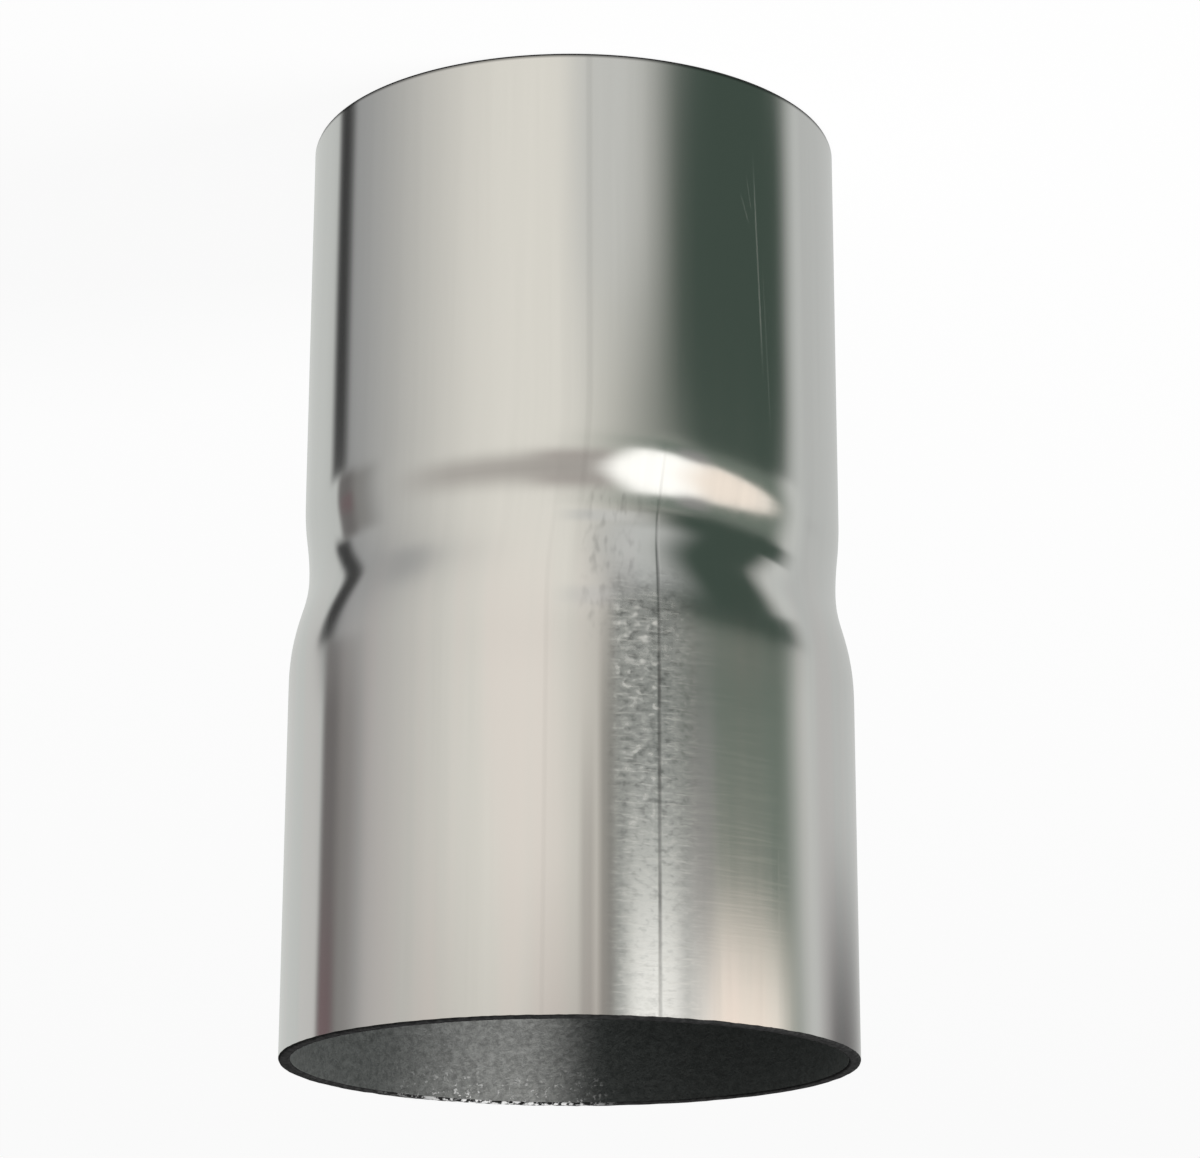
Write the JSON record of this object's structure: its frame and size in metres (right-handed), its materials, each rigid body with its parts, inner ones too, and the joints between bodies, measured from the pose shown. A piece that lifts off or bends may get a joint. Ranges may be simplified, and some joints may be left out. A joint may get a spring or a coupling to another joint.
{
  "type": "exhaust pipe sleeve",
  "caption": "Short welded steel exhaust pipe sleeve: a plain spigot end, a shallow rolled neck at mid-length and an expanded socket end that slips over a pipe of the same size.",
  "frame": {"origin": "on the tube's axis, at the plain spigot end's rim, which the sleeve stands on", "axes": "+Z along the tube's axis, from the spigot end up to the socket's mouth; -Y is the side that the picture shows, with the weld seam 17.5 degrees from -Y towards -X"},
  "size_m": [0.0596, 0.0596, 0.1],
  "materials": {
    "steel": "bright rolled tube, satin, with fine drawing lines and scuffs along the weld seam"
  },
  "bodies": {
    "root": {"sleeve": "steel"}
  },
  "joints": []
}
